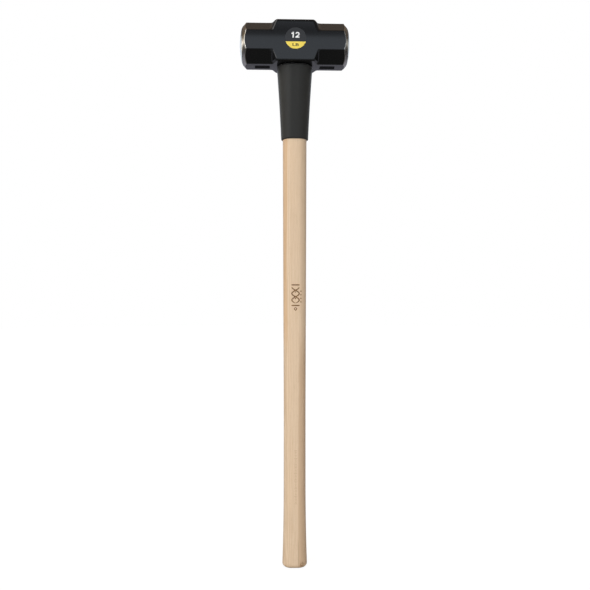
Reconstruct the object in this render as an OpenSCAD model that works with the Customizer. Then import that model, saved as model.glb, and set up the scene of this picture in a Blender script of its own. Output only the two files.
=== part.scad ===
// Double-faced sledgehammer with a wedged wooden handle and a rubber overstrike guard.
// Millimetres. +Z runs up the handle, +X along the head, and the origin is the lowest point
// of the domed butt. Ovals are two half rounds of the same profile with a flat band
// between them, so a fit between two ovals is a difference of radius all the way round.

/* [Overall] */
// Height from the bottom of the butt to the top of the head
overall_h = 919; // [760:1:1110]

/* [Head] */
// Length of the head over its two crowned faces
head_len = 186; // [154:1:226]
// Side of the square bar that the head is forged from
head_w = 69.5; // [57:0.5:84]
// Width taken off each corner of the bar to make an eight-sided poll
poll_chamfer = 19; // [8:0.5:22]
// Length of the square block round the eye, along its corners
block_len = 63.5; // [52:0.5:78]
// Slope of the shoulder between the block and a poll, from the head's long axis
shoulder_angle = 60; // [45:1:80]
// Hollow radius where the shoulder runs out into the poll
shoulder_fillet = 7; // [2:0.5:10]
// Rounding of the block's four long corners
corner_round = 2.5; // [0.5:0.5:5]
// Radius of the crown on each striking face
crown_r = 115; // [90:5:200]
// Radius at which a striking face's crown turns into its bevel
face_r = 28; // [22:0.5:31]
// Slope of the bevel, from the plane of the striking face
bevel_angle = 38; // [25:1:50]

/* [Underside panels] */
// Length of the shallow panel under each poll
panel_len = 26; // [16:1:36]
// Width of the panel
panel_w = 14; // [6:1:20]
// Depth of the panel
panel_depth = 0.5; // [0.2:0.1:1]
// Distance from the middle of the head to the middle of a panel
panel_x = 55; // [50:1:64]
// Corner radius of the panel
panel_round = 3; // [1:0.5:4]

/* [Eye] */
// Half the length of the flat band in every oval
oval_flat = 5; // [4:0.5:6]
// Width of the eye at its waist, along the head
eye_w = 34; // [28:0.2:41]
// How far the eye's lower mouth flares out from the waist
mouth_flare_low = 0.8; // [0:0.1:1.5]
// How far the eye's upper mouth flares out from the waist
mouth_flare_high = 1.6; // [0:0.1:2.5]
// Clearance between the handle's tongue and the wall of the eye
eye_gap = 0.05; // [0.05:0.05:0.3]

/* [Handle] */
// How far the neck swells out all round below the shoulder
neck_swell = 1.6; // [0.5:0.1:3]
// Width of the handle along its slim grip
grip_w = 37.2; // [31:0.2:45]
// Height of the slim grip's lower end
grip_low = 140; // [110:5:180]
// Height of the slim grip's upper end
grip_high = 270; // [220:5:330]
// Greatest width of the flared butt
butt_w = 41.8; // [35:0.2:50]
// Rounding of the butt's edge
butt_round = 6; // [3:0.5:9]
// Radius of the butt's slightly domed end
butt_dome = 70; // [40:5:150]
// Length of the taper at the top of the neck
neck_taper = 12; // [6:1:20]
// Width of the shoulder that the head sits on
shoulder_ledge = 0.8; // [0.4:0.1:1.5]
// How far the handle's sawn end lies below the top of the head
end_drop = 1; // [0.5:0.5:3]
// Width of the saw kerf in the tongue
kerf_w = 1.2; // [0.8:0.1:2]
// Depth of the saw kerf from the end of the handle
kerf_depth = 52; // [48:1:58]

/* [Wedges] */
// Length of the wooden wedge
wood_wedge_len = 40; // [30:1:46]
// Thickness of the wooden wedge at its top
wood_wedge_t = 4.6; // [3:0.1:6]
// Length of a steel wedge
steel_wedge_len = 24; // [16:1:28]
// Thickness of a steel wedge at its top
steel_wedge_t = 3; // [2:0.1:4]
// Thickness of a steel wedge at its tip
steel_wedge_tip = 0.8; // [0.5:0.1:1.5]
// Width of a steel wedge, across the head
steel_wedge_w = 17; // [10:0.5:20]
// Distance from the middle of the eye to a steel wedge
steel_wedge_x = 8; // [5:0.5:11]

/* [Overstrike guard] */
// Length of the guard, from the underside of the head
guard_len = 124.5; // [90:0.5:160]
// Thickness of the guard's wall at its top
guard_top_wall = 9.95; // [6:0.05:11]
// Thickness of the guard's wall just above its lower lip
guard_low_wall = 2.8; // [2.2:0.05:5]
// How far the guard's wall bows in, halfway up
guard_waist = 0.5; // [0:0.1:1]
// Rounding of the guard's top edge
guard_top_round = 3; // [1:0.5:5]
// Rounding of the guard's lower lip
guard_lip_round = 1.8; // [0.5:0.1:2]
// Clearance between the guard's bore and the handle
guard_gap = 0.05; // [0.05:0.05:0.3]

/* [Weight label] */
// Diameter of the round label on the front cheek
label_d = 35.4; // [24:0.2:44]
// Thickness of the label
label_t = 0.3; // [0.2:0.05:0.6]
// How far the label is stuck above the middle of the cheek
label_rise = 2.3; // [-8:0.1:8]
// How far the label is stuck to one side of the middle of the cheek, towards +X
label_aside = 0.6; // [-5:0.1:5]

/* [Hidden] */
$fn = 96;

past = 1;
arc_steps = 8;
curve_steps = 8;

head_low = overall_h - head_w;
head_mid = overall_h - head_w / 2;
guard_low = head_low - guard_len;
handle_end = overall_h - end_drop;

// Poll: distances of the bar's corner and of the chamfer from the head's long axis
corner_q = head_w / sqrt(2);
chamfer_q = corner_q - poll_chamfer / sqrt(2);
face_sag = crown_r - sqrt(crown_r * crown_r - face_r * face_r);

// Radii of the half rounds that make each oval
eye_r = eye_w / 2 - oval_flat;
ledge_r = eye_r + mouth_flare_low + shoulder_ledge;
neck_r = ledge_r + neck_swell;
grip_r = grip_w / 2 - oval_flat;
butt_r = butt_w / 2 - oval_flat;
guard_top_r = neck_r + guard_gap + guard_top_wall;
guard_low_r = neck_r + guard_gap + guard_low_wall;

// Where the butt's rounded edge runs into its dome
edge_r = butt_r - butt_round;
edge_turn = asin(edge_r / (butt_dome - butt_round));
edge_z = butt_dome - (butt_dome - butt_round) * cos(edge_turn);

// Points on an arc about the centre c, from angle a to angle b
function arc(c, r, a, b) =
    [for (i = [0:arc_steps]) let (t = a + (b - a) * i / arc_steps) c + r * [cos(t), sin(t)]];

// [radius, height] points from p up to q, with the radius falling ever more slowly to q's
function flare(p, q) =
    [for (i = [0:curve_steps])
        let (t = i / curve_steps)
        [q[0] + (p[0] - q[0]) * (1 - t) * (1 - t), p[1] + (q[1] - p[1]) * t]];

// [radius, height] points from p up to q on a line that bows in by d halfway
function bowed(p, q, d) =
    [for (i = [1:curve_steps - 1])
        let (t = i / curve_steps)
        [p[0] + (q[0] - p[0]) * t - 4 * d * t * (1 - t), p[1] + (q[1] - p[1]) * t]];

function mirrored(points) = [for (i = [len(points) - 1:-1:0]) [-points[i][0], points[i][1]]];

function rounded_square(side, r) =
    let (c = side / 2 - r)
    concat(arc([c, c], r, 0, 90), arc([-c, c], r, 90, 180),
           arc([-c, -c], r, 180, 270), arc([c, -c], r, 270, 360));

function rounded_box(l, w, r) =
    let (x = l / 2 - r, y = w / 2 - r)
    concat(arc([x, y], r, 0, 90), arc([-x, y], r, 90, 180),
           arc([-x, -y], r, 180, 270), arc([x, -y], r, 270, 360));

// The wall of the eye as [radius, height] points, grown by g and run past both mouths by e
function eye_wall(g, e) =
    [[eye_r + mouth_flare_low + g, head_low - e],
     [eye_r + mouth_flare_low + g, head_low],
     [eye_r + g, head_mid],
     [eye_r + mouth_flare_high + g, overall_h],
     [eye_r + mouth_flare_high + g, overall_h + e]];

// The shaft of the handle from the butt's dome to the shoulder under the head
shaft_wall = concat(
    arc([0, butt_dome], butt_dome, -90, edge_turn - 90),
    arc([edge_r, edge_z], butt_round, edge_turn - 90, 0),
    flare([butt_r, edge_z], [grip_r, grip_low]),
    [[grip_r, grip_high], [neck_r, guard_low],
     [neck_r, head_low - neck_taper], [ledge_r, head_low]]);

shaft_radius = [for (p = shaft_wall) [p[1], p[0]]];

guard_wall = concat(
    arc([guard_low_r - guard_lip_round, guard_low + guard_lip_round], guard_lip_round, -90, 0),
    bowed([guard_low_r, guard_low + guard_lip_round],
          [guard_top_r, head_low - guard_top_round], guard_waist),
    arc([guard_top_r - guard_top_round, head_low - guard_top_round], guard_top_round, 0, 90));

// The bore follows the shaft up to the neck's taper, and stays straight from there
guard_bore = concat(
    [for (z = [guard_low - past, head_low - neck_taper]) [lookup(z, shaft_radius) + guard_gap, z]],
    [[neck_r + guard_gap, head_low + past]]);

// A solid oval: two half rounds and the band between them
module oval(wall) {
    first = wall[0];
    last = wall[len(wall) - 1];
    foot = first[0] > 0 ? [[0, first[1]]] : [];
    for (side = [-1, 1])
        translate([side * oval_flat, 0, 0])
            rotate([0, 0, -90 * side])
                rotate_extrude(angle = 180)
                    polygon(concat(foot, wall, [[0, last[1]]]));
    rotate([90, 0, 90])
        linear_extrude(2 * oval_flat, center = true)
            polygon(concat(wall, mirrored(wall)));
}

// What one corner of the bar loses from the shoulder outwards, to make one poll's chamfer
module poll_cut() {
    rise = corner_q - chamfer_q;
    foot_x = block_len / 2 + rise / tan(shoulder_angle);
    turn = tan(shoulder_angle / 2) * shoulder_fillet;
    centre = [foot_x + turn, chamfer_q + shoulder_fillet];
    out = head_w / 2;
    linear_extrude(2 * head_w, center = true)
        polygon(concat(
            [[head_len, chamfer_q]],
            arc(centre, shoulder_fillet, -90, -90 - shoulder_angle),
            [[block_len / 2 - out / tan(shoulder_angle), corner_q + out],
             [head_len, corner_q + out]]));
}

// Everything inside the crowns and bevels of the two striking faces
module between_faces() {
    crown = arc([0, head_len / 2 - crown_r], crown_r, 90, 90 - asin(face_r / crown_r));
    bevel_end = head_len / 2 - face_sag - (head_w - face_r) * tan(bevel_angle);
    face = concat(crown, [[head_w, bevel_end]]);
    rotate([0, 90, 0])
        rotate_extrude()
            polygon(concat(face, [for (i = [len(face) - 1:-1:0]) [face[i][0], -face[i][1]]]));
}

module wood_wedge_slab() {
    rotate([90, 0, 90])
        linear_extrude(2 * eye_w, center = true)
            polygon([[-kerf_w / 2, handle_end - wood_wedge_len],
                     [kerf_w / 2, handle_end - wood_wedge_len],
                     [wood_wedge_t / 2, handle_end],
                     [-wood_wedge_t / 2, handle_end]]);
}

module steel_wedge(side) {
    color([0.42, 0.43, 0.45])
        translate([side * steel_wedge_x, 0, handle_end])
            rotate([90, 0, 0])
                linear_extrude(steel_wedge_w, center = true)
                    polygon([[-steel_wedge_tip / 2, -steel_wedge_len],
                             [steel_wedge_tip / 2, -steel_wedge_len],
                             [steel_wedge_t / 2, 0],
                             [-steel_wedge_t / 2, 0]]);
}

// The part of the handle inside the eye, up to its sawn end
module tongue() {
    intersection() {
        oval(eye_wall(-eye_gap, past));
        translate([-eye_w, -eye_w, head_low - past])
            cube([2 * eye_w, 2 * eye_w, handle_end - head_low + past]);
    }
}

module head() {
    color([0.11, 0.11, 0.12])
        translate([0, 0, head_mid])
            difference() {
                intersection() {
                    rotate([90, 0, 90])
                        linear_extrude(head_len, center = true)
                            polygon(rounded_square(head_w, corner_round));
                    between_faces();
                }
                for (turn = [45:90:315], end = [0, 180])
                    rotate([turn, 0, 0]) rotate([0, 0, end]) rotate([90, 0, 0])
                        poll_cut();
                for (side = [-1, 1])
                    translate([side * panel_x, 0, -head_w / 2 - past])
                        linear_extrude(past + panel_depth)
                            polygon(rounded_box(panel_len, panel_w, panel_round));
                translate([0, 0, -head_mid]) oval(eye_wall(0, past));
            }
}

module handle() {
    color([0.84, 0.72, 0.58])
        difference() {
            union() {
                oval(shaft_wall);
                tongue();
            }
            wood_wedge_slab();
            translate([-eye_w, -kerf_w / 2, handle_end - kerf_depth])
                cube([2 * eye_w, kerf_w, kerf_depth - wood_wedge_len + past]);
            for (side = [-1, 1]) steel_wedge(side);
        }
}

module wood_wedge() {
    color([0.72, 0.56, 0.38])
        difference() {
            intersection() {
                tongue();
                wood_wedge_slab();
            }
            for (side = [-1, 1]) steel_wedge(side);
        }
}

module overstrike_guard() {
    color([0.2, 0.2, 0.2])
        difference() {
            oval(guard_wall);
            oval(guard_bore);
        }
}

module weight_label() {
    color([0.05, 0.05, 0.055])
        translate([label_aside, -head_w / 2, head_mid + label_rise])
            rotate([90, 0, 0])
                cylinder(d = label_d, h = label_t);
}

head();
handle();
wood_wedge();
steel_wedge(-1);  // steel_wedge_left
steel_wedge(1);  // steel_wedge_right
overstrike_guard();
weight_label();
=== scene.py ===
"""Looks for a double-faced sledgehammer: forged head, wedged hickory handle, rubber guard.

Metres throughout, +Z up the handle and +X along the head. Shapes are worked out in
millimetres as whole numpy arrays and turned into metres when the mesh is made.
"""
import math

import bmesh
import bpy
import numpy as np
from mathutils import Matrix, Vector


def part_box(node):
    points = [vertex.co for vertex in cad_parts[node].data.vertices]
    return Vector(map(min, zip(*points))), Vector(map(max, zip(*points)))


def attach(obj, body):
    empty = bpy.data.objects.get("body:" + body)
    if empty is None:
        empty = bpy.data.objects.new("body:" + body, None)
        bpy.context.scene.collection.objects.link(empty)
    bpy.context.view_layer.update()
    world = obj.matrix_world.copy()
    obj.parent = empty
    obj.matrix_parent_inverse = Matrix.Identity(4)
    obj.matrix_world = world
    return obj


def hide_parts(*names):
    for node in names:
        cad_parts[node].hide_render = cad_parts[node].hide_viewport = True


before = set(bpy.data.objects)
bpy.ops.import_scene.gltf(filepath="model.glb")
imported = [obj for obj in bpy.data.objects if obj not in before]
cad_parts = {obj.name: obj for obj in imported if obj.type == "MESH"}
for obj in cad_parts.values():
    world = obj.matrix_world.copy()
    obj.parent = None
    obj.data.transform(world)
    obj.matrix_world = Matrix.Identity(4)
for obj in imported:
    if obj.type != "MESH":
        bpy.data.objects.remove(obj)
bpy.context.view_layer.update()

MM = 0.001
MERGE_DISTANCE = 1e-7
THINNEST_EDGE = 1e-8
LETTER_MERGE_DISTANCE = 1e-6


def box_mm(node):
    """Lowest and highest corner of a CAD node, in millimetres."""
    low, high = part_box(node)
    return np.array(low) / MM, np.array(high) / MM


# ---------------------------------------------------------------- dimensions, millimetres
HEAD_BOX = box_mm("head")
HANDLE_BOX = box_mm("handle")
GUARD_BOX = box_mm("overstrike_guard")
LABEL_BOX = box_mm("weight_label")

HEAD_HALF_LEN = HEAD_BOX[1][0]
HEAD_HALF_W = HEAD_BOX[1][1]
HEAD_LOW = HEAD_BOX[0][2]
HEAD_TOP = HEAD_BOX[1][2]
HEAD_MID = (HEAD_LOW + HEAD_TOP) / 2
LABEL_X, _, LABEL_Z = (LABEL_BOX[0] + LABEL_BOX[1]) / 2
GUARD_LOW = GUARD_BOX[0][2]
HANDLE_END = HANDLE_BOX[1][2]

# Forged bar: its chamfered polls, the block round the eye and the striking faces.
POLL_CHAMFER = 19
BLOCK_HALF_LEN = 31.75
SHOULDER_ANGLE = math.radians(60)
CROWN_R = 115
FACE_R = 28
BEVEL_ANGLE = math.radians(38)
BEVEL_BULGE = 0.8
CORNER_Q = HEAD_HALF_W * math.sqrt(2)
CHAMFER_Q = CORNER_Q - POLL_CHAMFER / math.sqrt(2)

# Worn shape: a softness is the width over which two faces run into each other.
CHEEK_CROWN_R = 500
CHEEK_CROWN_DEPTH = 0.35
FACET_SOFTNESS = 0.75
SHOULDER_SOFTNESS = 3.2
CORNER_SOFTNESS = 2.9
SHOULDER_HOLLOW = 4.1
FACE_EDGE_R = 1.3
CROWN_EDGE_SOFTNESS = 0.5
PAINT_EDGE = 0.2
CLOSING_DEPTH = 3

# Stamped panels under the polls, and the upright bars in them.
PANEL_X = 55
PANEL_HALF = (13, 7)
PANEL_ROUND = 3
PANEL_DEPTH = 0.5
PANEL_WALL = 0.9
BAR_PITCH = 4.2
BAR_HALF_SHARE = 0.32
BAR_HALF_HEIGHT = 4.2
BAR_REACH = 10.4
BAR_RISE = 0.34

# Ovals: two half rounds of the radius given, either side of a flat. The eye comes first.
OVAL_FLAT = 5
EYE_WAIST_R = 12
EYE_LOW_R = 12.8
EYE_TOP_R = 13.6
EYE_GAP = 0.05
EYE_MOUTH_CHAMFER = 0.7
SLOT_PAST = 3.0

LEDGE_R = 13.6
NECK_R = 15.2
NECK_TAPER = 12
GRIP_R = 13.6
GRIP_LOW = 140
GRIP_HIGH = 270
BUTT_R = 15.9
BUTT_ROUND = 6
BUTT_DOME = 70
TONGUE_EDGE = 0.4
SHOULDER_STEP = 0.02

GUARD_TOP_R = 25.2
GUARD_LOW_R = 18.05
GUARD_WAIST = 0.5
GUARD_TOP_ROUND = 3
GUARD_LIP_ROUND = 1.8
GUARD_GAP = 0.05

WOOD_WEDGE_LEN = 40
WOOD_WEDGE_TOP = 4.6
WOOD_WEDGE_TIP = 1.2
STEEL_WEDGE_LEN = 24
STEEL_WEDGE_TOP = 3
STEEL_WEDGE_TIP = 0.8
STEEL_WEDGE_W = 17
STEEL_WEDGE_X = 8
STRUCK_DEPTH = 1.6
STRUCK_LIP = 0.35
STRUCK_SPREAD = 0.06
STRUCK_CHAMFER = 0.3

# Label: widths and heights, the heights of rule and unit above the bowl's chord.
CHORD_DROP = 5.7
BOWL_HALF_CHORD = 16.8
BOWL_DEPTH = 11.7
RULE_HALF_WIDTH = 16.6
RULE_RANGE = (0.4, 1.6)
NUMBER_RANGE = (0.7, 10.2)
NUMBER_WEIGHT = 0.92
NUMBER_SLANT = 0.05
UNIT_RANGE = (-7.4, -2.9)
UNIT_WIDTH = 11.0
UNIT_WEIGHT = 0.03

# Camera: lens and sensor in millimetres, its place in metres.
CAMERA_LENS = 41.92
CAMERA_SENSOR = 36
CAMERA_HEIGHT = 0.4616
CAMERA_DISTANCE = 1.171
CAMERA_TURN = math.radians(-2)
CAMERA_ASIDE = 0.0006


# ---------------------------------------------------------------- mesh helpers
def smooth_max(a, b, k):
    """The larger of a and b, with the crease between them rounded over a width k."""
    near = np.clip(k - np.abs(a - b), 0, None) / k
    return np.maximum(a, b) + near * near * k / 4


def smooth_min(a, b, k):
    """The smaller of a and b, with the crease between them rounded over a width k."""
    return -smooth_max(-a, -b, k)


def ease(t):
    """An S-curve from 0 to 1 with level ends: three t squared less two t cubed."""
    t = np.clip(t, 0, 1)
    return t * t * (3 - 2 * t)


def cheek_sag(distance):
    """How far a forged side falls away from its crown at a distance from its middle line.

    It starts as a parabola and levels out: depth times one less a bell curve."""
    spread = 2 * CHEEK_CROWN_R * CHEEK_CROWN_DEPTH
    return CHEEK_CROWN_DEPTH * (1 - np.exp(-distance ** 2 / spread))


def grid_faces(rows, columns, loop_rows=False):
    """Four-sided faces between neighbouring rows of a grid whose columns wrap round."""
    row = np.arange(rows if loop_rows else rows - 1)[:, None]
    column = np.arange(columns)[None, :]
    next_row = (row + 1) % rows
    next_column = (column + 1) % columns
    corners = (row * columns + column, row * columns + next_column,
               next_row * columns + next_column, next_row * columns + column)
    return np.stack(corners, -1).reshape(-1, 4)


def link_object(name, data):
    """A new object in the scene, at the origin."""
    made = bpy.data.objects.new(name, data)
    bpy.context.scene.collection.objects.link(made)
    return made


def close_mesh(mesh, merge, thinnest=None):
    """Merges points nearer than merge, drops thinner edges and turns the faces outwards."""
    work = bmesh.new()
    work.from_mesh(mesh)
    bmesh.ops.remove_doubles(work, verts=work.verts, dist=merge)
    if thinnest:
        bmesh.ops.dissolve_degenerate(work, edges=work.edges, dist=thinnest)
    bmesh.ops.recalc_face_normals(work, faces=work.faces)
    work.to_mesh(mesh)
    work.free()


def make_mesh(name, points, faces, crease=35):
    """A closed object from millimetre points: doubles merged, faces outwards, creases sharp."""
    mesh = bpy.data.meshes.new(name)
    mesh.from_pydata((np.asarray(points).reshape(-1, 3) * MM).tolist(), [], faces.tolist())
    close_mesh(mesh, MERGE_DISTANCE, THINNEST_EDGE)
    finish_mesh(mesh, crease)
    return link_object(name, mesh)


def join_grids(name, grids, crease):
    """Several grids whose columns wrap round, as one piece."""
    points = []
    faces = []
    start = 0
    for grid in grids:
        rows, columns = grid.shape[:2]
        points.append(grid.reshape(-1, 3))
        faces.append(grid_faces(rows, columns) + start)
        start += rows * columns
    return make_mesh(name, np.concatenate(points), np.concatenate(faces), crease)


def finish_mesh(mesh, crease):
    """Smooth shading, with edges that turn by more than crease degrees kept sharp."""
    mesh.polygons.foreach_set("use_smooth", np.ones(len(mesh.polygons), dtype=bool))
    mesh.set_sharp_from_angle(angle=math.radians(crease))
    mesh.update()


def cut(piece, cutter, crease):
    """Takes the cutter's volume out of the piece, for good, and removes the cutter."""
    step = piece.modifiers.new("cut", "BOOLEAN")
    step.operation = "DIFFERENCE"
    step.solver = "EXACT"
    step.object = cutter
    bpy.context.view_layer.update()
    graph = bpy.context.evaluated_depsgraph_get()
    cut_mesh = bpy.data.meshes.new_from_object(piece.evaluated_get(graph))
    piece.modifiers.clear()
    old = piece.data
    piece.data = cut_mesh
    cut_mesh.name = old.name
    bpy.data.meshes.remove(old)
    cutter_mesh = cutter.data
    bpy.data.objects.remove(cutter)
    bpy.data.meshes.remove(cutter_mesh)
    finish_mesh(cut_mesh, crease)


def oval_outline(columns_round, columns_flat):
    """Unit outline of an oval as (which end's centre, cosine, sine), once round.

    A half round on the right, the flat back, a half round on the left and the flat front.
    The first value runs from 1 to -1 along the back and from -1 to 1 along the front."""
    half = np.linspace(-math.pi / 2, math.pi / 2, columns_round, endpoint=False)
    flat = np.linspace(1, -1, columns_flat, endpoint=False)
    ones_round = np.ones(columns_round)
    ones_flat = np.ones(columns_flat)
    centre = np.concatenate([ones_round, flat, -ones_round, -flat])
    cosine = np.concatenate([np.cos(half), 0 * ones_flat, -np.cos(half), 0 * ones_flat])
    sine = np.concatenate([np.sin(half), ones_flat, -np.sin(half), -ones_flat])
    return centre, cosine, sine


def oval_sweep(radius, height, columns_round=40, columns_flat=8):
    """The oval outline carried up a profile of (radius, height), one row for each point."""
    centre, cosine, sine = oval_outline(columns_round, columns_flat)
    radius = np.asarray(radius, dtype=float)[:, None]
    height = np.asarray(height, dtype=float)[:, None]
    x = OVAL_FLAT * centre[None, :] + radius * cosine[None, :]
    y = radius * sine[None, :]
    z = height + 0 * x
    return np.stack([x, y, z], -1)


def arc_profile(centre, radius, start, stop, count):
    """Points (radius, height) on an arc about centre, from start to stop degrees."""
    turn = np.radians(np.linspace(start, stop, count))
    return centre[0] + radius * np.cos(turn), centre[1] + radius * np.sin(turn)


def across_path(x, z):
    """The direction square to a path at each of its points, one unit long."""
    step_x = np.gradient(x)
    step_z = np.gradient(z)
    length = np.hypot(step_x, step_z)
    return -step_z / length, step_x / length


def join_profiles(*parts):
    """One profile out of several (radius, height) parts."""
    radius = np.concatenate([np.atleast_1d(part[0]) for part in parts])
    height = np.concatenate([np.atleast_1d(part[1]) for part in parts])
    return radius.astype(float), height.astype(float)


# ---------------------------------------------------------------- head
def poll_angles(count):
    """Angles round the head's long axis, packed closer where its surface turns.

    The density of angles is 1 plus a bell curve at each edge of each flat, at the middle of
    each corner and at the panels' long sides. The angles are read off its running sum."""
    fine = np.linspace(0, 2 * math.pi, 14401)

    def crowd(height, centre, width):
        return height * np.exp(-(((fine - centre) / width) ** 2))

    quarter = math.pi / 2
    under = 3 * quarter
    flat_edge = math.atan2(HEAD_HALF_W - POLL_CHAMFER, HEAD_HALF_W)
    panel_edge = math.atan2(PANEL_HALF[1], HEAD_HALF_W)
    density = 1 + 1.2 * (np.abs(fine - under) < panel_edge * 1.3)
    for side in (-1, 1):
        density += crowd(3, under + side * panel_edge, 0.025)
        for turn in range(5):
            density += crowd(5, turn * quarter + side * flat_edge, 0.035)
    for turn in range(5):
        density += crowd(3, (turn + 0.5) * quarter, 0.045)
    walked = np.concatenate([[0], np.cumsum((density[1:] + density[:-1]) / 2)])
    return np.interp(np.arange(count) / count * walked[-1], walked, fine)


def head_gauge(x, y, z):
    """Below zero inside the forged bar, above zero outside, for x, y, z from its middle.

    A square bar with slightly crowned sides, whose four corners are planed off from the
    shoulder outwards. The shoulder slopes up to the block out of a hollow, and its edges
    are more worn than those of the polls."""
    side_y = np.abs(y) + cheek_sag(z) - HEAD_HALF_W
    side_z = np.abs(z) + cheek_sag(y) - HEAD_HALF_W
    bar = smooth_max(side_y, side_z, CORNER_SOFTNESS)
    corner = (np.abs(y) + np.abs(z)) / math.sqrt(2)
    ramp = ((np.abs(x) - BLOCK_HALF_LEN) * math.sin(SHOULDER_ANGLE)
            + (corner - CORNER_Q) * math.cos(SHOULDER_ANGLE))
    planed = smooth_min(corner - CHAMFER_Q, ramp, SHOULDER_HOLLOW)
    near_block = 1 - ease((np.abs(x) - BLOCK_HALF_LEN - 5) / 6)
    softness = FACET_SOFTNESS + (SHOULDER_SOFTNESS - FACET_SOFTNESS) * near_block
    return smooth_max(bar, planed, softness)


def head_radius(x, angle):
    """Distance of the forged surface from the long axis at x.

    It lies between two radii, and the gap between them is halved again and again."""
    nearest, farthest, halvings = 20.0, 60.0, 40
    low = np.full(np.broadcast(x, angle).shape, nearest)
    high = np.full(low.shape, farthest)
    for _ in range(halvings):
        middle = (low + high) / 2
        outside = head_gauge(x, middle * np.cos(angle), middle * np.sin(angle)) > 0
        high = np.where(outside, middle, high)
        low = np.where(outside, low, middle)
    return (low + high) / 2


def bevel_x(radius):
    """Distance along the head of the striking face's bevel at that radius.

    A cone with a slight belly: a parabola that is nothing at the bevel's two edges."""
    sag = CROWN_R - math.sqrt(CROWN_R ** 2 - FACE_R ** 2)
    share = np.clip((radius - FACE_R) / (HEAD_HALF_W - FACE_R), 0, 1)
    belly = 4 * BEVEL_BULGE * share * (1 - share)
    return HEAD_HALF_LEN - sag - (radius - FACE_R) * math.tan(BEVEL_ANGLE) + belly


def crown_x(radius):
    """Distance along the head of the striking face's crown at that radius."""
    return HEAD_HALF_LEN - CROWN_R + np.sqrt(CROWN_R ** 2 - radius ** 2)


def poll_edge(angle):
    """Radius and distance of the centre of the rounding between bevel and side."""
    on_poll = HEAD_HALF_LEN - 12.0
    centre_r = head_radius(on_poll, angle) - FACE_EDGE_R
    centre_x = bevel_x(centre_r) - FACE_EDGE_R / math.cos(BEVEL_ANGLE)
    return centre_r, centre_x


def paint_line(angle, side):
    """How far along the head the paint stops at each angle: an even line, a little ragged.

    The line follows the bevel's edge, less a sum of four sines that differs by side."""
    _, centre_x = poll_edge(angle)
    waver = (0.16 * np.sin(5 * angle + side) + 0.11 * np.sin(13 * angle + 2.1 * side)
             + 0.08 * np.sin(29 * angle + 0.7) + 0.05 * np.sin(61 * angle + 1.9 * side))
    return centre_x - PAINT_EDGE - waver


def head_point(x, radius, angle):
    """Points from distance along the head, radius and angle."""
    return np.stack(np.broadcast_arrays(x, radius * np.cos(angle),
                                        radius * np.sin(angle) + HEAD_MID), -1)


def closing_x(line, share):
    """Distance along the cone that closes a piece, from the axis (0) to its end line (1)."""
    tip = line.min() - CLOSING_DEPTH
    return tip + (line - tip) * share


def striking_face(name, side, columns=288):
    """A ground steel end: crown, bevel, rounded edge and a narrow strip up to the paint.

    Rows run from the middle of the crown outwards, and then straight back to the axis
    inside the head, which closes the piece."""
    angle = poll_angles(columns)[None, :]
    centre_r, centre_x = poll_edge(angle)
    tangent_r = centre_r + FACE_EDGE_R * math.sin(BEVEL_ANGLE)
    rim_half = 0.8
    clear = 1.2
    inner = np.linspace(0, 1, 15)[:, None] * (FACE_R - clear)
    rim = np.linspace(-rim_half, rim_half, 7)[:, None] + FACE_R
    outer = FACE_R + clear + np.linspace(0, 1, 7)[:, None] * (tangent_r - FACE_R - clear)
    radius = np.concatenate([inner + 0 * angle, rim + 0 * angle, outer])
    x = smooth_min(crown_x(radius), bevel_x(radius), CROWN_EDGE_SOFTNESS)
    turn = np.linspace(BEVEL_ANGLE, math.pi / 2, 7)[1:, None]
    edge_radius = centre_r + FACE_EDGE_R * np.sin(turn)
    edge_x = centre_x + FACE_EDGE_R * np.cos(turn)
    line = paint_line(angle, side)
    strip_x = centre_x + np.linspace(0, 1, 3)[1:, None] * (line - centre_x)
    strip_radius = head_radius(strip_x, angle)
    inside = np.linspace(1, 0, 5)[1:, None]
    radius = np.concatenate([radius, edge_radius, strip_radius, inside * strip_radius[-1:]])
    x = np.concatenate([x, edge_x, strip_x, closing_x(line, inside)])
    points = head_point(side * x, radius, angle)
    return make_mesh(name, points, grid_faces(len(points), columns), crease=28)


def panel_depth(x, y):
    """Depth of the two stamped panels under the polls, with plain upright bars left in them.

    A panel is the distance to a rounded rectangle, eased over its wall. A bar is where a
    saw wave along the head is near its middle, eased off at the ends of the row."""
    along = np.abs(x) - PANEL_X
    reach_x = np.abs(along) - PANEL_HALF[0] + PANEL_ROUND
    reach_y = np.abs(y) - PANEL_HALF[1] + PANEL_ROUND
    outside = np.hypot(np.maximum(reach_x, 0), np.maximum(reach_y, 0))
    distance = outside + np.minimum(np.maximum(reach_x, reach_y), 0) - PANEL_ROUND
    inside = ease(0.5 - distance / PANEL_WALL)
    bar = ease((BAR_HALF_SHARE - np.abs((along / BAR_PITCH + 0.5) % 1 - 0.5)) * 4)
    bar = bar * ease((BAR_HALF_HEIGHT - np.abs(y)) / PANEL_WALL)
    bar = bar * ease((BAR_REACH - np.abs(along)) / PANEL_WALL)
    return PANEL_DEPTH * inside - BAR_RISE * bar


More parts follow.
